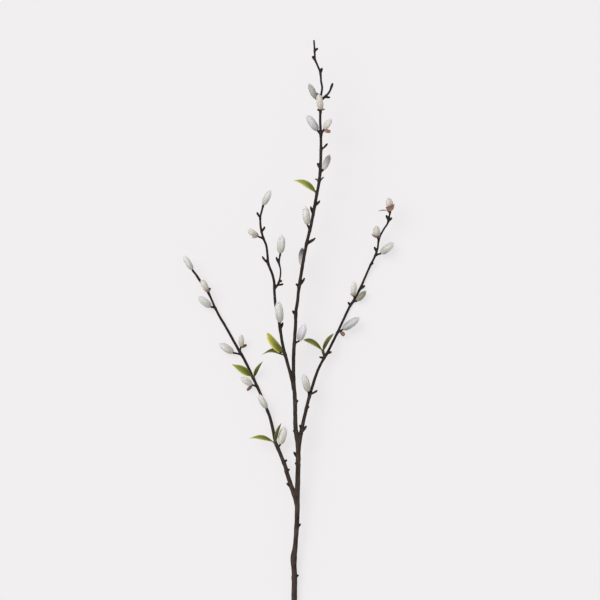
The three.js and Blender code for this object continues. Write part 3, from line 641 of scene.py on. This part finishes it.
def catkin_points(axes, girth, t, angle):
    """The egg's surface at the share t of its length and the angle round it.

    The radius is the swell times girth/2 less the depth of the silk, and every other knot of a lattice of
    rows and columns stands out as a low tuft, by the cosine of one times the cosine of the other. The egg
    stops short of the catkin's tip by a share, which the silk alone fills.
    """
    foot, span, axis, across, over = axes
    slope = np.sin(np.pi * t)
    tuft = np.cos(np.pi * CATKIN["tuft_rows"] * t) * np.cos(CATKIN["tuft_columns"] / 2 * angle) * slope
    radius = (girth / 2 - CATKIN["silk_depth"]) * egg_swell(t) + CATKIN["tuft_height"] * tuft
    forward = CATKIN["felt_share"] * span * t[..., None] + axis * (CATKIN["tuft_reach"] * tuft)[..., None]
    outward = np.cos(angle)[..., None] * across + np.sin(angle)[..., None] * over
    return foot + forward + radius[..., None] * outward


def silk_hairs(axes, girth, seed):
    """Fine three-sided hairs on the egg: a root ring, a middle ring and a point.

    Roots follow the golden angle round the egg with a little scatter, and stand closer towards the tip. A
    hair leaves its root along the surface towards the catkin's tip, leaning out by its share of the normal,
    and bends back in from its middle. Its points carry the share t and the angle of its root.
    """
    random = np.random.default_rng(seed)
    count = SILK["hairs"]
    number = np.arange(count)
    t = 0.01 + 0.985 * ((number + random.random(count)) / count) ** SILK["crowding"]
    angle = number * GOLDEN_ANGLE + random.normal(0, 0.12, count)
    root = catkin_points(axes, girth, t, angle)
    step = 0.004
    meridian = unit(catkin_points(axes, girth, t + step, angle) - catkin_points(axes, girth, t - step, angle))
    sideways = unit(catkin_points(axes, girth, t, angle + step) - catkin_points(axes, girth, t, angle - step))
    normal = np.cross(sideways, meridian)
    inside = axes[0] + CATKIN["felt_share"] * axes[1] * t[:, None]
    normal *= np.sign((normal * (root - inside)).sum(axis=1, keepdims=True))
    meridian = unit(meridian + 0.8 * axes[2])
    stray = random.normal(0, SILK["stray"], (count, 1)) * sideways
    longest = SILK["shortest"] + (SILK["longest"] - SILK["shortest"]) * t[:, None] ** 2
    length = random.uniform(SILK["shortest"], longest) * (girth / SILK["usual_girth"])
    lean = SILK["lean"] * random.uniform(0.6, 1.4, (count, 1))
    middle = root + 0.5 * length * unit(meridian + lean * normal + stray)
    tip = middle + 0.5 * length * unit(meridian + SILK["bend_back"] * lean * normal + 1.6 * stray)
    first_way = unit(np.cross(meridian, normal))
    spokes = np.radians([30.0, 150.0, 270.0])[:, None, None]
    ring = np.cos(spokes) * first_way + np.sin(spokes) * normal
    root_ring = root - SILK["root_depth"] * normal + SILK["root_radius"] * ring
    middle_ring = middle + SILK["middle_taper"] * SILK["root_radius"] * ring
    points = np.concatenate([root_ring, middle_ring, tip[None]]).transpose(1, 0, 2)
    start = number[:, None, None] * 7
    walls = start + np.array([[0, 3, 4, 1], [1, 4, 5, 2], [2, 5, 3, 0]])
    ends = start + np.array([[4, 3, 6], [5, 4, 6], [3, 5, 6], [0, 1, 2]])
    shine = np.tile([0.1, 0.1, 0.1, 0.6, 0.6, 0.6, 1.0], (count, 1))
    places = np.repeat(np.column_stack([t, angle]), 7, axis=0)
    return points.reshape(-1, 3), walls.reshape(-1, 4), ends.reshape(-1, 3), shine.ravel(), places


def catkin_mesh(name, catkin, seed):
    """The egg with its hairs, as one mesh, with the catkin's two shades.

    Each point has its place on the silk, (cos angle, sin angle, share t and the seed), how far out on a hair
    it is, and how high on the catkin.
    """
    stem, y, stalk, span, girth, shade = catkin
    axes = catkin_axes(stem, y, stalk, span)
    rows, around = CATKIN["rows"], CATKIN["around"]
    shares = (1 - np.cos(np.linspace(0, np.pi, rows + 1)[1:-1])) / 2
    t, angle = np.meshgrid(shares, np.linspace(0, 2 * np.pi, around, endpoint=False), indexing="ij")
    rings = catkin_points(axes, girth, t, angle)
    egg = np.vstack([rings.reshape(-1, 3), axes[0], axes[0] + CATKIN["felt_share"] * axes[1]])
    egg_places = np.vstack([np.column_stack([t.ravel(), angle.ravel()]), [(0, 0), (1, 0)]])
    egg_quads, egg_ends = ring_faces(rows - 1, around)
    hairs, walls, ends, shine, hair_places = silk_hairs(axes, girth, seed)
    points = np.vstack([egg, hairs])
    points[:, 2] = np.maximum(points[:, 2], CLEAR_OF_TABLE)
    mesh = new_mesh(name, points, egg_quads, egg_ends, walls + len(egg), ends + len(egg))
    t, angle = np.vstack([egg_places, hair_places]).T
    place = np.column_stack([np.cos(angle), np.sin(angle), t + seed])
    set_attribute(mesh, "silk_place", place)
    set_attribute(mesh, "silk", np.concatenate([np.zeros(len(egg)), shine]))
    for attribute_name, colour in zip(("foot_shade", "tip_shade"), SILK_COLOURS[shade]):
        set_attribute(mesh, attribute_name, np.tile(linear(colour), (len(points), 1)))
    height = ((points - axes[0]) @ axes[2]) / np.linalg.norm(axes[1])
    set_attribute(mesh, "height", np.clip(height, 0, 1))
    return mesh


# Bud scales and leaves: thin closed shells

def between(colours, share):
    """The colours between two sRGB colours, in linear light, at each share."""
    low, high = (np.array(linear(colour)) for colour in colours)
    return low + (high - low) * np.asarray(share)[..., None]


def blade_grid(steps, columns):
    """The share t from 0 to 1 along a blade, and w from -1 to 1 across it, at each point of a grid."""
    return np.meshgrid(np.linspace(0, 1, steps), np.linspace(-1, 1, columns), indexing="ij")


def spoon_points(name, scale, t, w, inset):
    """A tilted spoon: a keel that curls in with the square of t, and an arc across it over w.

    The arc's radius is width/2 (0.42 + 0.58 sin(pi t)), and fine stripes along the spoon stand out on it.
    """
    span, width, back, out, tilt, curl, _ = scale
    stem, y, stalk, catkin_span, *_ = CATKINS[name]
    heading = heading_of(catkin_span)
    along = heading_of(span)
    forward = unit(heading - heading @ along * along)
    over = np.cross(along, forward)
    turn = np.radians(tilt) * np.sign(over[2])
    hollow = forward * np.cos(turn) - over * np.sin(turn)
    side = np.cross(along, hollow)
    line = stalk_line(stem, y, stalk, heading, -0.3)
    length = along_of(line)
    root = points_at(length[-1] - back, length, line)
    reach = np.linalg.norm(span)
    wrap = np.radians(SCALE["wrap"])
    rounding = width / 2 * (0.42 + 0.58 * np.sin(np.pi * np.minimum(0.08 + 0.86 * t, 1)))
    stripe = SCALE["stripe_height"] * np.cos(np.pi * SCALE["stripes"] * w) * np.sin(np.pi * t)
    radius = rounding - inset + stripe
    lift = curl * reach * t ** 2 + rounding - radius * np.cos(wrap * w)
    keel = root + along * (out - SCALE["sink"]) + along * (reach * t)[..., None]
    return keel + hollow * lift[..., None] + side * (radius * np.sin(wrap * w))[..., None]


def cup_points(name, cup, t, w, inset):
    """A cup round a catkin's foot: its radius is the egg's, or the stalk's where that is more, with a gap.

    It runs up the catkin with t, less far at its sides, flares out at its lip with the square of t, and has
    the same fine stripes as a spoon.
    """
    toward, reach, wrap, flare, _ = cup
    stem, y, stalk, span, girth, _ = CATKINS[name]
    foot, span, axis, *_ = catkin_axes(stem, y, stalk, span)
    way = unit(np.array(toward) - axis * (axis @ toward))
    turn = np.radians(wrap) * w
    share = CUP["lowest"] + (reach * (1 - CUP["lip"] * w ** 2) - CUP["lowest"]) * t
    stripe = SCALE["stripe_height"] * np.cos(np.pi * SCALE["stripes"] * w) * np.sin(np.pi * t)
    inside = np.maximum(egg_swell(np.maximum(share, 0)) * girth / 2, CUP["foot_radius"])
    radius = inside + CUP["gap"] + CUP["room"] - inset + flare * t ** 2 + stripe
    around = np.cos(turn)[..., None] * way + np.sin(turn)[..., None] * np.cross(way, axis)
    return foot - CUP["set_back"] * axis + span * share[..., None] + around * radius[..., None]


def scale_mesh(name, scale, points_of):
    """A bud scale as a closed shell, its colour running from its foot to its lip."""
    t, w = blade_grid(SCALE["steps"], SCALE["columns"])
    thickness = SCALE["thickness"] * (1 - 0.55 * w ** 4) * (1 - 0.5 * t ** 4)
    outer = points_of(name, scale, t, w, 0.0)
    inner = points_of(name, scale, t, w, thickness)
    points = np.concatenate([outer.reshape(-1, 3), inner.reshape(-1, 3)])
    points[:, 2] = np.maximum(points[:, 2], CLEAR_OF_TABLE)
    mesh = new_mesh(name, points, shell_faces(SCALE["steps"], SCALE["columns"]))
    tint = between(SCALE_COLOURS[scale[-1]], t).reshape(-1, 4)
    set_attribute(mesh, "tint", np.tile(tint, (2, 1)))
    place = np.stack([t, w, np.zeros_like(t)], axis=-1).reshape(-1, 3)
    set_attribute(mesh, "blade_place", np.tile(place, (2, 1)))
    return mesh


def leaf_points(leaf, t, w, face_side):
    """A blade along a bowed midrib, at the share t of its length and w from -1 to 1 across it.

    The half width is width/2 sin(pi (0.06 + 0.94 t)^belly)^fullness, and no less than the stalk or the tip.
    The blade is folded up along its midrib, waves a little at its edges, and has its rib and side veins in
    relief.
    """
    stem, y, stalk, span, bow, face, width, fold, belly, fullness, _ = leaf
    foot = foot_of(stem, y, stalk)
    tip = foot + np.array(span)
    control = foot + np.array(span) / 2 + 2 * np.array(bow)
    share = t[..., None]
    midrib = (1 - share) ** 2 * foot + 2 * (1 - share) * share * control + share ** 2 * tip
    tangent = unit((1 - share) * (control - foot) + share * (tip - control))
    side = unit(np.cross(np.array(face, float), tangent))
    normal = np.cross(tangent, side)
    blade = width / 2 * np.sin(np.pi * (0.06 + 0.94 * t) ** belly).clip(0) ** fullness
    half = np.maximum(blade, (LEAF["stalk_width"] * (1 - t) + LEAF["tip_width"] * t) / 2)
    wave = LEAF["wave"] * np.sin(7 * t + 2 * w) * w ** 2 * np.minimum(1, half / 3)
    rib = np.exp(-(w * half / LEAF["rib_width"]) ** 2) * (1 - 0.6 * t)
    turns = LEAF["veins"] * (t - LEAF["vein_slant"] * np.abs(w))
    vein = np.cos(2 * np.pi * turns) ** 8 * np.minimum(1, half / 3)
    thickness = LEAF["edge_thickness"] + (LEAF["rib_thickness"] - LEAF["edge_thickness"]) * (1 - w ** 2)
    relief = LEAF["rib_height"] * rib + LEAF["vein_height"] * vein * (1 - np.abs(w)) ** 0.5
    sink = np.where(face_side > 0, 0.5, 1.0) * relief
    lift = half * np.abs(w) * np.sin(np.radians(fold)) + wave + face_side * thickness / 2 - sink
    return midrib + side * (half * w * np.cos(np.radians(fold)))[..., None] + normal * lift[..., None]


def leaf_mesh(name, leaf):
    """A leaf as a closed shell, its colour paler towards its tip and its margins, and one half of its fold
    paler as painted light.
    """
    t, w = blade_grid(LEAF["steps"], LEAF["columns"])
    faces = [leaf_points(leaf, t, w, face_side).reshape(-1, 3) for face_side in (1.0, -1.0)]
    mesh = new_mesh(name, np.concatenate(faces), shell_faces(LEAF["steps"], LEAF["columns"]))
    # The 0.3 w term is painted light: one half of the folded blade is painted paler, as if it faced the lamp
    pale = np.clip(0.6 * t + 0.55 * w ** 2 + 0.3 * w - 0.15, 0, 1)
    tint = between(LEAF_COLOURS[leaf[-1]], pale).reshape(-1, 4)
    set_attribute(mesh, "tint", np.tile(tint, (2, 1)))
    places = [np.stack([t, w, np.full_like(t, under)], axis=-1).reshape(-1, 3) for under in (0.0, 1.0)]
    set_attribute(mesh, "blade_place", np.concatenate(places))
    return mesh


# Materials

def node(tree, kind, inputs=None, **settings):
    """A new shader node with its settings. Each input takes a value, or a link where a socket is given."""
    made = tree.nodes.new("ShaderNode" + kind)
    for name, value in settings.items():
        setattr(made, name, value)
    for name, value in (inputs or {}).items():
        if isinstance(value, bpy.types.NodeSocket):
            tree.links.new(value, made.inputs[name])
        else:
            made.inputs[name].default_value = value
    return made


def mixed(tree, share, first, second):
    """The first colour where share is 0, the second where it is 1."""
    return node(tree, "Mix", {0: share, 6: first, 7: second}, data_type="RGBA").outputs[2]


def ranged(tree, value, low, high, to_low=0.0, to_high=1.0):
    """A value from the range low to high put into another range, and held at its ends."""
    limits = {"Value": value, "From Min": low, "From Max": high, "To Min": to_low, "To Max": to_high}
    return node(tree, "MapRange", limits).outputs["Result"]


def maths(tree, operation, *values):
    """The result of one operation on values or sockets, such as ADD, MULTIPLY or SINE."""
    return node(tree, "Math", dict(enumerate(values)), operation=operation).outputs[0]


def attribute(tree, name, output="Fac"):
    """A piece's own attribute."""
    return node(tree, "Attribute", attribute_name=name).outputs[output]


def stretched(tree, vector, scale):
    """A place with each of its three numbers multiplied."""
    return node(tree, "VectorMath", {0: vector, 1: scale}, operation="MULTIPLY").outputs["Vector"]


def soft_mottle():
    """A node group: two layers of noise over a place, broad patches and fine grain, each from 0 to 1."""
    group = bpy.data.node_groups.new("soft_mottle", "ShaderNodeTree")
    for name, kind in (("Place", "Vector"), ("Patch Scale", "Float"), ("Grain Scale", "Float")):
        group.interface.new_socket(name, in_out="INPUT", socket_type="NodeSocket" + kind)
    for name in ("Patches", "Grain"):
        group.interface.new_socket(name, in_out="OUTPUT", socket_type="NodeSocketFloat")
    given = group.nodes.new("NodeGroupInput")
    result = group.nodes.new("NodeGroupOutput")
    for name, scale, detail in (("Patches", "Patch Scale", 3.0), ("Grain", "Grain Scale", 5.0)):
        noise = node(group, "TexNoise", {"Vector": given.outputs["Place"], "Scale": given.outputs[scale],
                                         "Detail": detail, "Roughness": 0.6})
        group.links.new(ranged(group, noise.outputs["Fac"], 0.32, 0.68), result.inputs[name])
    return group


MOTTLE = soft_mottle()


def mottled(tree, place, patch_scale, grain_scale):
    """The patches and the grain of the shared group, over a place."""
    inputs = {"Place": place, "Patch Scale": patch_scale, "Grain Scale": grain_scale}
    made = node(tree, "Group", inputs, node_tree=MOTTLE)
    return made.outputs["Patches"], made.outputs["Grain"]


def new_material(name):
    """An empty node material."""
    material = bpy.data.materials.new(name)
    material.use_nodes = True
    material.node_tree.nodes.clear()
    return material, material.node_tree


def close_material(tree, colour, roughness, height, depth, **others):
    """The shader: colour, roughness and a bump of some depth in millimetres, and its other inputs by name."""
    bump = node(tree, "Bump", {"Height": height, "Distance": depth * MM, "Strength": 1.0})
    inputs = {"Base Color": colour, "Roughness": roughness, "Normal": bump.outputs[0]}
    for name, value in others.items():
        inputs[name.replace("_", " ").title().replace("Ior", "IOR")] = value
    shader = node(tree, "BsdfPrincipled", inputs)
    node(tree, "OutputMaterial", {"Surface": shader.outputs["BSDF"]})


def bark_material():
    """Dark brown bark: streaked along each limb, with pale pores, darker young twigs and a pale cut."""
    material, tree = new_material("willow_bark")
    shades = {name: linear(colour) for name, colour in BARK_COLOURS.items()}
    place = attribute(tree, "limb_place", "Vector")
    patches, grain = mottled(tree, stretched(tree, place, (1.0, 1.0, 0.22)), 260.0, 1100.0)
    pore = node(tree, "TexVoronoi", {"Vector": stretched(tree, place, (1.0, 1.0, 0.55)), "Scale": 300.0})
    pores = ranged(tree, pore.outputs["Distance"], 0.16, 0.26, 1.0, 0.0)
    bark = mixed(tree, patches, shades["furrow"], shades["ridge"])
    young = mixed(tree, grain, shades["young"], shades["furrow"])
    youth = ranged(tree, attribute(tree, "youth"), 0.0, 0.7, 0.0, 0.85)
    colour = mixed(tree, youth, bark, young)
    colour = mixed(tree, ranged(tree, pores, 0.0, 1.0, 0.0, 0.45), colour, shades["pore"])
    colour = mixed(tree, attribute(tree, "green"), colour, shades["petiole"])
    level = node(tree, "VectorMath", {0: stretched(tree, place, (1.0, 1.0, 0.0))}, operation="LENGTH")
    turns = maths(tree, "MULTIPLY", level.outputs["Value"], 5200.0)
    rings = ranged(tree, maths(tree, "SINE", turns), -1.0, 1.0)
    cut = mixed(tree, rings, shades["cut"], shades["cut_ring"])
    colour = mixed(tree, attribute(tree, "at_cut"), colour, cut)
    height = maths(tree, "MULTIPLY_ADD", grain, 0.6, pores)
    roughness = ranged(tree, grain, 0.0, 1.0, 0.6, 0.85)
    close_material(tree, colour, roughness, height, 0.25, specular_ior_level=0.2)
    return material


def silk_material():
    """Silvery silk: streaked along the catkin, and turning from its foot's shade to its tip's.

    Most of the light passes through the hairs, so that they shade the felt under them only a little.
    """
    material, tree = new_material("catkin_silk")
    place = stretched(tree, attribute(tree, "silk_place", "Vector"), (3.0, 3.0, 0.7))
    patches, grain = mottled(tree, place, 1.1, 4.0)
    share = ranged(tree, attribute(tree, "height"), 0.1, 1.0, -0.12, 0.9)
    share = maths(tree, "ADD", share, ranged(tree, patches, 0.0, 1.0, -0.26, 0.26))
    share = maths(tree, "ADD", share, ranged(tree, grain, 0.0, 1.0, -0.12, 0.12))
    share = maths(tree, "ADD", share, ranged(tree, attribute(tree, "silk"), 0.0, 1.0, 0.0, 0.2))
    at_foot, at_tip = (attribute(tree, name, "Color") for name in ("foot_shade", "tip_shade"))
    colour = mixed(tree, share, at_foot, at_tip)
    ray = node(tree, "LightPath").outputs
    lighting = maths(tree, "MAXIMUM", ray["Is Shadow Ray"], ray["Is Diffuse Ray"])
    clear = maths(tree, "MULTIPLY", lighting, ranged(tree, attribute(tree, "silk"), 0.0, 0.1, 0.0, 0.7))
    roughness = ranged(tree, grain, 0.0, 1.0, 0.6, 0.85)
    close_material(tree, colour, roughness, grain, 0.12, specular_ior_level=0.3, sheen_weight=0.3,
                   sheen_roughness=0.4, alpha=ranged(tree, clear, 0.0, 1.0, 1.0, 0.0))
    return material


def scale_material():
    """Thin glossy bud scale: streaked along its length, and darker towards its edges."""
    material, tree = new_material("bud_scale")
    place = attribute(tree, "blade_place", "Vector")
    patches, grain = mottled(tree, stretched(tree, place, (1.2, 5.0, 1.0)), 1.6, 6.0)
    tint = attribute(tree, "tint", "Color")
    streaked = mixed(tree, ranged(tree, grain, 0.0, 1.0, 0.0, 0.45), tint, SCALE_OVER["streak"])
    across = node(tree, "SeparateXYZ", {0: place}).outputs["Y"]
    edge = ranged(tree, maths(tree, "ABSOLUTE", across), 0.75, 1.0, 0.0, 0.5)
    colour = mixed(tree, edge, streaked, SCALE_OVER["edge"])
    roughness = ranged(tree, patches, 0.0, 1.0, 0.3, 0.5)
    close_material(tree, colour, roughness, grain, 0.08, coat_weight=0.2, coat_roughness=0.25)
    return material


def leaf_material():
    """Young leaf: pale midrib and side veins over a mottled green, paler and duller underneath."""
    material, tree = new_material("young_leaf")
    place = attribute(tree, "blade_place", "Vector")
    split = node(tree, "SeparateXYZ", {0: place})
    patches, grain = mottled(tree, stretched(tree, place, (4.0, 1.5, 1.0)), 2.2, 14.0)
    across = maths(tree, "ABSOLUTE", split.outputs["Y"])
    rib = ranged(tree, across, 0.03, 0.12, 0.55, 0.0)
    slant = maths(tree, "MULTIPLY_ADD", across, -LEAF["vein_slant"], split.outputs["X"])
    turns = maths(tree, "MULTIPLY", slant, 2 * np.pi * LEAF["veins"])
    veins = ranged(tree, maths(tree, "COSINE", turns), 0.8, 1.0, 0.0, 0.28)
    tint = attribute(tree, "tint", "Color")
    colour = mixed(tree, ranged(tree, patches, 0.0, 1.0, 0.0, 0.4), tint, LEAF_OVER["patch"])
    pale = mixed(tree, 0.45, tint, LEAF_OVER["vein"])
    colour = mixed(tree, maths(tree, "MAXIMUM", rib, veins), colour, pale)
    under = mixed(tree, 0.4, colour, LEAF_OVER["underside"])
    colour = mixed(tree, split.outputs["Z"], colour, under)
    roughness = ranged(tree, grain, 0.0, 1.0, 0.38, 0.55)
    close_material(tree, colour, roughness, grain, 0.06, specular_ior_level=0.15)
    return material


# The twig's pieces

dress("wood_with_buds", wood_mesh(), bark_material(), "woody_stem")

catkin_silk = silk_material()
for number, (name, catkin) in enumerate(CATKINS.items()):
    mesh = catkin_mesh("silky_catkin_" + name, catkin, seed=number)
    dress("silky_catkin_" + name, mesh, catkin_silk, "catkin_" + name)

rust_scale = scale_material()
for table, points_of in ((BUD_SCALES, spoon_points), (CUPPED_SCALES, cup_points)):
    for name, scale in table.items():
        mesh = scale_mesh(name, scale, points_of)
        dress("thin_scale_" + name, mesh, rust_scale, "bud_scale_" + name)

young_leaf = leaf_material()
for name, leaf in LEAVES.items():
    dress("veined_leaf_" + name, leaf_mesh("veined_leaf_" + name, leaf), young_leaf, "leaf_" + name)


# Floor, light and camera

def pale_floor(half_side=6.0):
    """A plain pale sheet under the twig, lit a little by itself so that the twig's shadow stays faint."""
    corners = np.array([(-1, -1, 0), (1, -1, 0), (1, 1, 0), (-1, 1, 0)]) * half_side / MM + BOX_MIDDLE
    mesh = new_mesh("floor", corners, np.array([[0, 1, 2, 3]]))
    material, tree = new_material("pale_floor")
    shader = node(tree, "BsdfPrincipled", {
        "Base Color": FLOOR_SHADE, "Roughness": 0.9, "Specular IOR Level": 0.0,
        "Emission Color": linear(FLOOR_COLOUR), "Emission Strength": LIGHT["floor_glow"],
    })
    node(tree, "OutputMaterial", {"Surface": shader.outputs["BSDF"]})
    mesh.materials.append(material)
    in_scene("floor", mesh)


def soft_light():
    """An even pale sky, and one broad soft light from the upper left."""
    world = bpy.data.worlds.new("pale_sky")
    world.use_nodes = True
    sky = world.node_tree.nodes["Background"]
    sky.inputs["Color"].default_value = linear(FLOOR_COLOUR)
    sky.inputs["Strength"].default_value = LIGHT["sky"]
    bpy.context.scene.world = world
    lamp = bpy.data.lights.new("window", "SUN")
    lamp.energy = LIGHT["window"]
    lamp.angle = np.radians(LIGHT["window_degrees"])
    window = in_scene("window", lamp)
    window.location = LIGHT["window_from"]
    window.rotation_euler = window.location.to_track_quat("Z", "Y").to_euler()


def overhead_camera():
    """A long lens straight above the twig, framed as the photograph is, with the stem's tip to the top."""
    lens = bpy.data.cameras.new("overhead")
    lens.sensor_width = PHOTO["sensor"]
    lens.lens = PHOTO["lens"]
    lens.clip_end = 100.0
    camera = in_scene("overhead", lens)
    distance = PHOTO["width"] * PHOTO["lens"] / PHOTO["sensor"]
    camera.location = in_metres(np.array(PHOTO["middle"]) + distance * UP).tolist()
    bpy.context.scene.camera = camera
    bpy.context.scene.view_settings.view_transform = "Standard"


pale_floor()
soft_light()
overhead_camera()
